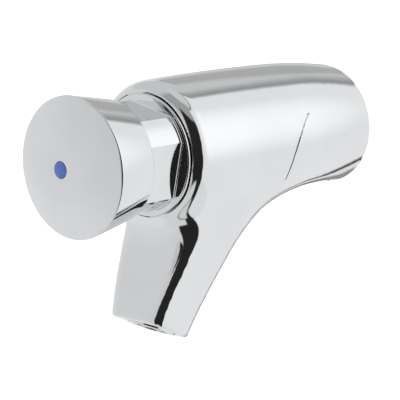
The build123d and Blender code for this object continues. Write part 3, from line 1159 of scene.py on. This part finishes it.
@dataclass
class InletTail(SubAssembly):
    """The brass tail that is screwed into the wall, with its pipe thread."""

    front: float = -18.5
    shoulder: float = -4.5
    end: float = 13.0
    lead: float = 1.0
    lead_radius: float = 9.5
    major: float = 10.478
    minor: float = 9.316
    pitch: float = 1.814
    relief: float = 9.4
    bore: float = 7.0
    edge: float = 0.3
    front_edge: float = 0.8
    strainer_bore: float = 8.2
    strainer_depth: float = 3.0
    thread_start: float = 0.3
    root_share: float = 0.06
    mouth_share: float = 0.40
    groove_stand: float = 0.4
    groove_steps: int = 72
    arc_steps: int = 4
    sharp: float = 30.0

    def groove(self) -> Piece:
        """Winds the thread's groove, past both ends of the thread, as a tool.

        Returns:
            The tool.
        """
        root, mouth = self.root_share * self.pitch, self.mouth_share * self.pitch
        outside = self.major + self.groove_stand
        profile = [
            (-mouth, outside),
            (-mouth, self.major),
            (-root, self.minor),
            (root, self.minor),
            (mouth, self.major),
            (mouth, outside),
        ]
        start = self.thread_start - self.pitch / 2
        points = [Vector((radius * MM, (start + place) * MM, 0.0)) for place, radius in profile]
        groove = self.trace("groove", points)
        leave_edit()
        turns = math.ceil((self.end - start) / self.pitch) + 1
        wind(groove, self.pitch, turns, self.groove_steps)
        close_up(groove)
        return groove

    def build(self) -> None:
        """Makes the tail."""
        corners = [
            (self.front, self.bore, self.edge),
            (self.front, self.major, self.front_edge),
            (self.shoulder, self.major, self.edge),
            (self.shoulder, self.relief, 0.0),
            (self.thread_start, self.relief, 0.0),
            (self.thread_start + self.lead, self.major, 0.0),
            (self.end - self.lead, self.major, 0.0),
            (self.end, self.lead_radius, 0.0),
            (self.end, self.strainer_bore, 0.0),
            (self.end - self.strainer_depth, self.strainer_bore, 0.0),
            (self.end - self.strainer_depth, self.bore, 0.0),
        ]
        tail = self.turn("inlet_tail", rounded(corners, self.arc_steps))
        cut(tail, self.groove())
        hand_over(tail, self.sharp, Body.TAP, self.finish, "inlet_nipple")


@dataclass
class Spring(SubAssembly):
    """A compression spring of round wire with closed ends, wound about the inlet axis."""

    name: str
    node: str
    joint: str
    coil_radius: float
    wire_radius: float
    turns: int
    travel: float = 7.0
    wire_facets: int = 12
    turn_steps: int = 48
    sharp: float = 60.0

    def build(self) -> None:
        """Winds the spring between the ends of its node."""
        low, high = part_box(self.node)
        start, end = low[1] / MM, high[1] / MM
        length = end - start
        wire = 2.0 * self.wire_radius
        pitch = (length - 3.0 * wire) / self.turns
        place = start + self.wire_radius
        parts = []
        for rise, turns in ((wire, 1), (pitch, self.turns), (wire, 1)):
            free()
            bpy.ops.mesh.primitive_circle_add(
                vertices=self.wire_facets,
                radius=self.wire_radius * MM,
                location=(self.coil_radius * MM, place * MM, 0.0),
            )
            settle()
            parts.append(bpy.context.object)
            wind(parts[-1], rise, turns, self.turn_steps)
            place += rise * turns
        spring = join(*parts)
        spring.name = spring.data.name = self.name
        close_up(spring)
        hand_over(spring, self.sharp, Body.TAP, self.finish, self.node)
        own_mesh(spring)


@dataclass
class Camera:
    """The camera of the photograph, found from its outlines."""

    azimuth: float = 41.79
    elevation: float = 8.85
    roll: float = -0.45
    distance: float = 0.522
    target: Corner = (0.0, -0.06325, 0.0)
    lens: float = 136.3
    sensor: float = 36.0
    centre_right: float = 0.0236
    centre_up: float = 0.142
    nearest: float = 0.01

    def build(self) -> None:
        """Sets the camera up."""
        turn, rise = math.radians(self.azimuth), math.radians(self.elevation)
        level = math.cos(rise)
        back = Vector((math.sin(turn) * level, -math.cos(turn) * level, math.sin(rise)))
        right = Vector((0, 0, 1)).cross(back).normalized()
        up = back.cross(right)
        lean = math.radians(self.roll)
        side = right * math.cos(lean) + up * math.sin(lean)
        top = up * math.cos(lean) - right * math.sin(lean)
        turned = Matrix((side, top, back)).transposed().to_4x4()
        place = Vector(self.target) + back * self.distance
        data = bpy.data.cameras.new("camera")
        data.lens = self.lens
        data.sensor_width = self.sensor
        data.shift_x = -self.centre_right
        data.shift_y = -self.centre_up
        data.clip_start = self.nearest
        camera = bpy.data.objects.new("camera", data)
        bpy.context.scene.collection.objects.link(camera)
        camera.matrix_world = Matrix.Translation(place) @ turned
        bpy.context.scene.camera = camera


@dataclass(frozen=True)
class Panel:
    """A soft-edged field of the surroundings, between two azimuths and two elevations."""

    level: float
    centre: float
    half: float
    low: float
    high: float
    soft: float = 3.0
    soft_rise: float = 3.0
    slope: float = 0.0
    rise_slope: float = 0.0

    def lay(self, under: Signal, azimuth: Signal, elevation: Signal) -> Signal:
        """Lays the field over what is there.

        Args:
            under: The light so far.
            azimuth: The direction's azimuth, with 0 straight in front of the wall.
            elevation: The direction's elevation.

        Returns:
            The light with the field over it.
        """
        aside, rise = (azimuth - self.centre).turned(), self.soft_rise
        mask = 1.0 - aside.size().step(self.half - self.soft, self.half + self.soft)
        if self.low > -90.0:
            mask = mask * elevation.step(self.low - rise, self.low + rise)
        if self.high < 90.0:
            mask = mask * (1.0 - elevation.step(self.high - rise, self.high + rise))
        light = aside * self.slope + elevation * self.rise_slope + self.level
        return under * (1.0 - mask) + mask * light


@dataclass(frozen=True)
class Glow:
    """A bright oval in the surroundings, added to what is there."""

    level: float
    centre: float
    half: float
    rise: float
    half_rise: float
    fade: float = 1.6

    def lay(self, under: Signal, azimuth: Signal, elevation: Signal) -> Signal:
        """Adds the oval to what is there.

        Args:
            under: The light so far.
            azimuth: The direction's azimuth, as in Panel.lay.
            elevation: The direction's elevation.

        Returns:
            The light with the oval in it.
        """
        aside = (azimuth - self.centre).turned() / self.half
        above = (elevation - self.rise) / self.half_rise
        return under + (1.0 - (aside * aside + above * above).step(0.0, self.fade)) * self.level


@dataclass
class Surroundings:
    """What polished metal sees: light fields with dark gaps between them, standing still."""

    dark: float = 0.02
    room: float = 0.85
    fields: tuple[Union[Panel, Glow], ...] = (
        Panel(0.40, -22.0, 26.0, 28.0, 90.0),
        Panel(0.40, 17.0, 62.0, 44.0, 90.0, soft=14.0),
        Panel(0.34, 150.0, 80.0, 40.0, 90.0, soft=8.0),
        Panel(0.36, -165.0, 30.0, -8.0, 90.0),
        Panel(0.67, 150.0, 75.0, 66.0, 90.0, soft=12.0, soft_rise=1.5),
        Panel(0.66, -100.0, 68.0, 0.0, 90.0, soft=8.0, soft_rise=6.0),
        Panel(0.47, -145.0, 16.0, 14.0, 33.0, soft=4.0, soft_rise=4.0),
        Panel(0.70, 0.0, 200.0, 72.0, 90.0),
        Panel(0.79, -66.0, 69.0, -62.0, 29.0, soft_rise=1.5, slope=-0.0013, rise_slope=-0.0013),
        Panel(0.76, 0.0, 36.0, -62.0, -42.0, soft=4.0, soft_rise=4.0),
        Panel(0.84, 168.0, 93.0, -90.0, 0.0, soft=4.0),
        Panel(0.30, -150.0, 13.0, -40.0, 2.0, soft=4.0, soft_rise=4.0),
        Panel(0.06, 176.0, 10.5, -53.0, 20.0, soft=1.5, soft_rise=1.5),
        Panel(0.92, 127.0, 54.0, -48.0, 62.0, soft_rise=2.0),
        Glow(0.28, 126.0, 34.0, 22.0, 30.0),
        Panel(0.72, -60.0, 110.0, -90.0, -64.0, soft=8.0),
        Panel(0.72, 0.0, 200.0, -90.0, -76.0),
    )

    def build(self) -> None:
        """Makes the world: white to the camera, even to matt surfaces, the fields to mirrors."""
        world = bpy.data.worlds.new("studio")
        bpy.context.scene.world = world
        world.use_nodes = True
        bench = ShaderBench(world.node_tree)
        x, y, z = bench.axes(bench.node("ShaderNodeTexCoord").outputs["Generated"])
        degrees = 180.0 / math.pi
        azimuth = x.math("ARCTAN2", x, -y) * degrees
        elevation = z.math("ARCSINE", z.smaller(1.0).larger(-1.0)) * degrees
        light = elevation * 0.0 + self.dark
        for field in self.fields:
            light = field.lay(light, azimuth, elevation)
        seen, even, mirrored = (
            bench.node("ShaderNodeBackground", {}, {0: WHITE, 1: strength})
            for strength in (1.0, self.room, light.larger(0.0))
        )
        path = bench.node("ShaderNodeLightPath")
        unseen = bench.mix(path.outputs["Is Glossy Ray"], even, mirrored)
        whole = bench.mix(path.outputs["Is Camera Ray"], unseen, seen)
        bench.node("ShaderNodeOutputWorld", {}, {0: whole.outputs[0]})


@dataclass(frozen=True)
class Lamp:
    """A square area lamp that polished metal doesn't see, in metres and watts."""

    place: Corner
    power: float
    size: float = 1.0
    aim: Corner = (0.0, -0.06, 0.0)

    def hang(self) -> None:
        """Hangs the lamp and aims it at the tap."""
        free()
        bpy.ops.object.light_add(type="AREA", location=self.place)
        lamp = bpy.context.object
        lamp.data.size = self.size
        lamp.data.energy = self.power
        lamp.visible_glossy = False
        way = Vector(self.aim) - Vector(self.place)
        lamp.rotation_euler = way.to_track_quat("-Z", "Y").to_euler()


@dataclass
class Floor:
    """A pale floor far below, white to the camera and open to what mirrors see, and lamps."""

    depth: float = -0.30
    reach: float = 24.0
    albedo: float = 0.85
    mottle: float = 0.99
    roughness: float = 0.9
    glow: float = 0.42
    lamps: tuple[Lamp, ...] = (Lamp((-0.9, -1.0, 1.3), 9.0), Lamp((1.1, -0.7, 1.0), 7.0))

    def material(self) -> bpy.types.Material:
        """Matt white that also glows a little, and lets mirrored rays pass.

        Returns:
            The material.
        """
        made = bpy.data.materials.new("pale_floor")
        made.use_nodes = True
        bench = ShaderBench(made.node_tree)
        cloud = bench.noise(bench.place(), 3.0).step(0.3, 0.7)
        inputs = {
            "Base Color": bench.blend(cloud, (self.albedo,) * 3, (self.albedo * self.mottle,) * 3),
            "Roughness": self.roughness,
            "Emission Color": WHITE,
            "Emission Strength": self.glow,
        }
        matt = bench.node("ShaderNodeBsdfPrincipled", {}, inputs)
        clear = bench.node("ShaderNodeBsdfTransparent")
        path = bench.node("ShaderNodeLightPath")
        both = bench.mix(path.outputs["Is Glossy Ray"], matt, clear)
        bench.node("ShaderNodeOutputMaterial", {}, {"Surface": both.outputs[0]})
        return made

    def build(self) -> None:
        """Lays the floor and hangs the lamps."""
        free()
        bpy.ops.mesh.primitive_plane_add(size=self.reach, location=(0.0, 0.0, self.depth))
        floor = bpy.context.object
        floor.name = floor.data.name = "floor"
        settle()
        floor.data.materials.append(self.material())
        for lamp in self.lamps:
            lamp.hang()


@dataclass
class Workshop:
    """Puts the whole tap together from its sub-assemblies."""

    chrome: Finish = Plated("polished_chrome", "chrome")
    wire: Finish = Turned("spring_wire", "steel", (0.52, 0.52, 0.53), 0.26)
    steel: Finish = Turned("stainless_steel", "steel", (0.60, 0.59, 0.57), 0.2)
    brass: Finish = Turned("turned_brass", "brass", (0.78, 0.57, 0.25), 0.24)
    rubber: Finish = Rubber("black_rubber", "rubber")
    fibre: Finish = Rubber(
        "pressed_fibre", "fibre", (0.10, 0.045, 0.035), (0.17, 0.085, 0.07), 0.7, 1100.0
    )
    white: Finish = Moulded("white_plastic", "pom", (0.78, 0.77, 0.73))
    blue: Finish = Enamel("blue_enamel", "index_blue")
    jewel: Finish = Moulded("synthetic_ruby", "jewel", (0.42, 0.02, 0.05), 0.12, 0.1)

    def inner_parts(self) -> None:
        """Dresses the parts inside, whose CAD shapes stay as they are.

        Where two finishes have one slot, the later of the fields above counts.
        """
        finishes = {finish.slot: finish for finish in vars(self).values()}
        slots = {row["node"]: row["material_slot"] for row in frame["record"]["subparts"]}
        for name, node in frame["nodes"].items():
            finish = finishes[slots[name]]
            finish.dress(node)
            log.info("%s: %s", name, finish.name)

    def build(self) -> None:
        """Builds every piece."""
        self.inner_parts()
        casting = TapCasting(self.chrome)
        casting.build()
        Nozzle(self.chrome).build(casting)
        knob = PushKnob(self.chrome)
        knob.cap()
        knob.index(self.blue)
        HeadNut(self.chrome).build()
        InletTail(self.brass).build()
        Spring(self.wire, "return_coil", "return_spring", "knob_press", 9.8, 0.8, 6).build()
        Spring(self.wire, "closing_coil", "closing_spring", "piston_slide", 5.0, 0.5, 6).build()


def main() -> None:
    """Builds the scene."""
    logging.basicConfig(level=logging.INFO, format="%(message)s")
    bpy.context.scene.view_settings.view_transform = "Standard"
    Camera().build()
    Surroundings().build()
    Workshop().build()
    Floor().build()


if __name__ == "__main__":
    main()
